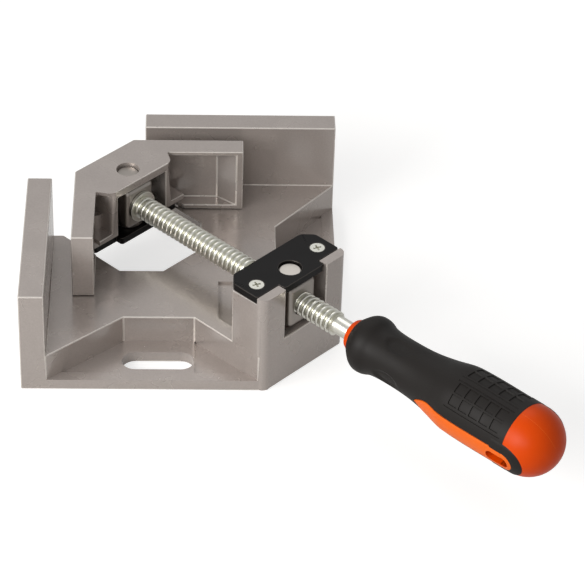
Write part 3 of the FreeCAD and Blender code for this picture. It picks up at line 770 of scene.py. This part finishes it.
def strip_half(distance, grow=0.0):
    """Half width of the orange strip, or of its border when grown."""
    if distance < STRIP_START - grow or distance > STRIP_END + grow:
        return 0.0
    full = STRIP_HALF + grow
    half = full
    if distance < STRIP_FULL:
        t = (distance - STRIP_START + grow) / (STRIP_FULL - STRIP_START + grow)
        half = full * math.sin(t * math.pi / 2) ** STRIP_TIP_POWER
    rest = distance - (STRIP_END + grow - full)
    if rest > 0:
        half = min(half, math.sqrt(max(full**2 - rest**2, 0.0)))
    return half


def grip_radius(distance, angle):
    """Grip surface with sunk squares and border lines, dimples and the strips' seats."""
    r = skin(distance)
    seam = wrapped(angle - SEAM_ANGLE)
    for turn in HALF_TURNS:
        local = wrapped(seam - turn)
        for rows, half_angle, middles, half, depth in RELIEF:
            for row in rows:
                inside = step_in(wrapped(local + SEAM_ANGLE - row), half_angle, WALL_ANGLE)
                if inside > 0:
                    for middle in middles:
                        r -= depth * inside * step_in(distance - middle, half, WALL)
    for turn in DIMPLE_TURNS:
        da = wrapped(seam - turn) / DIMPLE_HALF_ANGLE
        dd = (distance - DIMPLE_MIDDLE) / DIMPLE_HALF
        reach = math.sqrt(da * da + dd * dd)
        if reach < 1.0:
            r -= DIMPLE_DEPTH * min(DIMPLE_SLOPE * (1 - reach**2), 1.0)
    half = strip_half(distance, SEAT_GROW)
    for turn in HALF_TURNS:
        offset = abs(math.radians(wrapped(angle - STRIP_ANGLE - turn)) * skin(distance))
        if offset < half:
            r -= SEAT_DEPTH * min((half - offset) / SEAT_WALL, 1.0)
    return r


def stations():
    """Distances of the grip's rings, denser at each wall of the relief."""
    marks = {*LIP_RINGS, STRIP_START, STRIP_START - SEAT_GROW}
    d = GRIP_START
    while d < GRIP_END:
        marks.add(round(d, 3))
        d += WAIST_STEP if d < SQUARES_START else SQUARES_STEP
    for _, _, middles, half, _ in RELIEF:
        for middle in middles:
            for edge in (middle - half, middle + half):
                marks.update((round(edge - WALL / 2, 3), round(edge + WALL / 2, 3)))
    return sorted(marks)


def angles():
    """Angles of the grip's lines, denser at each wall of the relief and at the strips."""
    marks = set(round(-180 + ANGLE_STEP * k, 3) for k in range(int(360 / ANGLE_STEP)))
    for turn in HALF_TURNS:
        for rows, half_angle, *_ in RELIEF:
            for row in rows:
                for edge in (row - half_angle, row + half_angle):
                    for wall in (-WALL_ANGLE / 2, WALL_ANGLE / 2):
                        marks.add(round(wrapped(edge + wall + turn), 3))
        for k in range(-STRIP_REACH, STRIP_REACH + 1):
            marks.add(round(wrapped(STRIP_ANGLE + turn + k), 3))
    return sorted(marks)


def shell(name, distances, turns, radius_of, closing):
    """Closed skin over a grid of distances and angles; closing rings end it."""
    points = []
    rings = [add_points(points, [on_axis(d, radius_of(d, a), a) for a in turns])
             for d in distances]
    faces = []
    for low, high in zip(rings, rings[1:]):
        faces += band(low, high)
    for ring, (d, r) in zip((rings[0], rings[-1]), closing):
        inner = add_points(points, [on_axis(d, r, a) for a in turns])
        faces += band(ring, inner)
        centre = add_points(points, [on_axis(d, 0.0, 0.0)])[0]
        faces += [(a, b, centre) for a, b in zip(inner, inner[1:] + inner[:1])]
    return solid_from(name, points, faces)


def patch(name, middle_angle, start, stop, half_of, height, depth, across, along):
    """Solid pad that follows the handle's skin, with its own outline and softened rims."""
    spots = [start + (stop - start) * (1 - math.cos(math.pi * k / along)) / 2
             for k in range(along + 1)]
    points = []
    layers = []
    for lift in (height, -depth):
        rows = []
        for d in spots:
            half = max(half_of(d), 0.01)
            r = skin(d)
            rim = min(RIM_WIDE, half)
            row = []
            for j in range(across + 1):
                u = 2 * j / across - 1
                past = max(abs(u) * half - half + rim, 0.0) / rim if lift > 0 else 0.0
                a = middle_angle + math.degrees(u * half / max(r, 1.0))
                row.append(on_axis(d, r + lift - RIM_DROP * past, a))
            rows.append(add_points(points, row))
        layers.append(rows)
    faces = []
    for rows in layers:
        for low, high in zip(rows, rows[1:]):
            faces += band(low, high, closed=False)
    top, bottom = layers
    for end in (0, -1):
        faces += band(top[end], bottom[end], closed=False)
        faces += band([row[end] for row in top], [row[end] for row in bottom], closed=False)
    return solid_from(name, points, faces, 1e-7)


def slot_cutter(extra):
    """Obround bar through the handle along the strips' middle."""
    a = math.radians(STRIP_ANGLE)
    through = UP * math.cos(a) + ACROSS * math.sin(a)
    sideways = ALONG.cross(through)
    half = SLOT_WIDE / 2 + extra
    reach = SLOT_LONG / 2 - SLOT_WIDE / 2
    outline = []
    for shift, turns in ((reach, range(SLOT_STEPS + 1)),
                         (-reach, range(SLOT_STEPS, 2 * SLOT_STEPS))):
        for k in turns:
            t = math.pi * (k / SLOT_STEPS - 0.5)
            outline.append((shift + half * math.cos(t), half * math.sin(t)))
    points = []
    rings = []
    for level in (-SLOT_REACH, SLOT_REACH):
        rings.append(add_points(points, [
            (ALONG * (SLOT_MIDDLE + x) + UP * AXIS_Z + sideways * y + through * level) * MM
            for x, y in outline]))
    low, high = rings
    return solid_from("hang_slot_bar", points, [low, high[::-1]] + band(low, high))


def cut_with(obj, cutter, name):
    modifier = obj.modifiers.new("hang_slot", "BOOLEAN")
    modifier.operation = "DIFFERENCE"
    modifier.solver = "EXACT"
    modifier.object = cutter
    return baked(obj, name)


def make_grip(cutter):
    """Soft grip: its shell, and the lobes round the strips' ends."""
    body = shell("grip_body", stations(), angles(), grip_radius,
                 ((GRIP_START, GRIP_BORE_R), (GRIP_END, GRIP_REAR_BORE_R)))
    parts = [cut_with(body, cutter, "grip_body_cut")]
    for turn in HALF_TURNS:
        lobe = patch("grip_lobe", STRIP_ANGLE + turn, LOBE_START, STRIP_END + LOBE_GROW,
                     lambda d: strip_half(d, LOBE_GROW), LOBE_HEIGHT, LOBE_DEPTH, 24, 60)
        parts.append(cut_with(lobe, cutter, "grip_lobe_cut"))
    grip = join("handle_grip_moulded", parts)
    shade(grip.data)
    place_piece(grip, "screw", GRIP, ["handle_grip"])


def make_core(cutter):
    """Hard core: collar, stem under the grip, dome, the two strips and the parting line."""
    dome = [(DOME_MIDDLE + DOME_R * math.sin(math.radians(DOME_STEP * k)),
             DOME_R * math.cos(math.radians(DOME_STEP * k))) for k in range(90 // DOME_STEP)]
    body = turned("core_body", CORE_PROFILE + dome + [(DOME_MIDDLE + DOME_R, 0.0)],
                  CORE_STEPS)
    parts = [cut_with(body, cutter, "core_body_cut")]
    for turn in HALF_TURNS:
        strip = patch("core_strip", STRIP_ANGLE + turn, STRIP_START, STRIP_END,
                      strip_half, STRIP_HEIGHT, STRIP_DEPTH, 24, 120)
        line = patch("core_parting_line", SEAM_ANGLE + turn, GRIP_END + 0.3,
                     DOME_MIDDLE + DOME_R - 0.6, lambda d: PARTING_HALF, PARTING_HEIGHT,
                     PARTING_DEPTH, 6, 40)
        # Painted light: the strip and the parting line take the paler orange, as if lit more
        # strongly than the dome.
        for part in (strip, line):
            for slot in (ORANGE, ORANGE_PAINTED_LIGHT):
                part.data.materials.append(slot)
            for face in part.data.polygons:
                face.material_index = 1
        parts += [cut_with(strip, cutter, "core_strip_cut"), line]
    core = join("handle_core_moulded", parts)
    shade(core.data)
    for slot in (ORANGE, ORANGE_PAINTED_LIGHT):
        core.data.materials.append(slot)
    place_piece(core, "screw", ORANGE, ["handle_core"], painted=True)


for make, margin in ((make_grip, SLOT_MARGIN), (make_core, 0.0)):
    bar = slot_cutter(margin)
    make(bar)
    bpy.data.objects.remove(bar)

# Floor, light and camera, in metres. How white the studio stays in metal, how far the floor
# glows to the camera, how dim the surroundings are otherwise.
IN_METAL = 0.4
FLOOR_GLOW = 0.65
DIM = 0.3
FLOOR_HALF = 6.0
FLOOR_DROP = 0.0001
MIDDLE = Vector((0.06, -0.07, 0.02))


def white_share(tree):
    """1 for the camera and through glass, a share of it where metal mirrors the studio."""
    path = add(tree, "ShaderNodeLightPath")
    seen = add(tree, MATH, {"operation": "MULTIPLY"}, path.outputs["Is Glossy Ray"], IN_METAL)
    seen = add(tree, MATH, {"operation": "MAXIMUM"}, path.outputs["Is Transmission Ray"], seen)
    return add(tree, MATH, {"operation": "MAXIMUM"}, path.outputs["Is Camera Ray"], seen)


def make_floor():
    half = FLOOR_HALF
    mesh = mesh_from("floor", [(-half, -half, 0), (half, -half, 0), (half, half, 0),
                               (-half, half, 0)], [(0, 1, 2, 3)])
    floor = object_from("floor", mesh)
    floor.location = (0, 0, -FLOOR_DROP)
    material, tree, shader = new_material("matt_white_board")
    shader.inputs["Base Color"].default_value = colour("#C6C5C3")
    shader.inputs["Roughness"].default_value = 0.9
    shader.inputs["Specular IOR Level"].default_value = 0.1
    # The white board is overexposed to the camera, so only a faint shadow stays.
    glow = add(tree, MATH, {"operation": "MULTIPLY"}, white_share(tree), FLOOR_GLOW)
    shader.inputs["Emission Color"].default_value = colour("#FFFFFF")
    tree.links.new(glow.outputs[0], shader.inputs["Emission Strength"])
    mesh.materials.append(material)


make_floor()


def softbox(name, place, size, power, tint):
    """Area light turned to the clamp's middle; its power is in watts."""
    data = bpy.data.lights.new(name, "AREA")
    data.shape = "RECTANGLE"
    data.size, data.size_y = size
    data.energy = power
    data.color = tint
    light = object_from(name, data)
    light.location = place
    facing = Vector(place) - MIDDLE
    light.rotation_euler = facing.to_track_quat("Z", "Y").to_euler()


softbox("key_softbox", (-0.85, -0.68, 0.56), (0.7, 0.6), 10.5, (1.0, 0.985, 0.97))
softbox("front_softbox", (-0.4, -1.0, 0.55), (0.7, 0.4), 3.6, (1.0, 1.0, 1.0))
softbox("top_softbox", (0.0, 0.55, 1.0), (0.9, 0.5), 2.0, (1.0, 1.0, 1.0))


def make_world():
    world = bpy.data.worlds.new("studio")
    world.use_nodes = True
    tree = world.node_tree
    tree.nodes.clear()
    strength = add(tree, "ShaderNodeMapRange", None, Value=white_share(tree), To_Min=DIM,
                   To_Max=1.0)
    shine = add(tree, "ShaderNodeBackground", None, Color=(1.0, 1.0, 1.0, 1.0),
                Strength=strength)
    add(tree, "ShaderNodeOutputWorld", None, Surface=shine)
    bpy.context.scene.world = world


make_world()

# Camera at the photograph's angle; distances in metres, the lens in mm.
AZIMUTH = math.radians(-2.539)
ELEVATION = math.radians(37.526)
ROLL = math.radians(1.937)
TARGET = Vector((0.084384, 0.049936, -0.071727))
DISTANCE = 1.071216
LENS = 174.53


def make_camera():
    back = Vector((math.sin(AZIMUTH) * math.cos(ELEVATION),
                   -math.cos(AZIMUTH) * math.cos(ELEVATION), math.sin(ELEVATION)))
    right = (-back).cross(UP).normalized()
    upward = right.cross(-back)
    axis_x = right * math.cos(ROLL) + upward * math.sin(ROLL)
    axis_y = -right * math.sin(ROLL) + upward * math.cos(ROLL)
    lens = bpy.data.cameras.new("camera")
    lens.sensor_width = 36.0
    lens.lens = LENS
    lens.clip_end = 20.0
    camera = object_from("camera", lens)
    turn = Matrix((axis_x, axis_y, back)).transposed().to_4x4()
    camera.matrix_world = Matrix.Translation(TARGET + back * DISTANCE) @ turn
    bpy.context.scene.camera = camera


make_camera()
bpy.context.scene.view_settings.view_transform = "Standard"
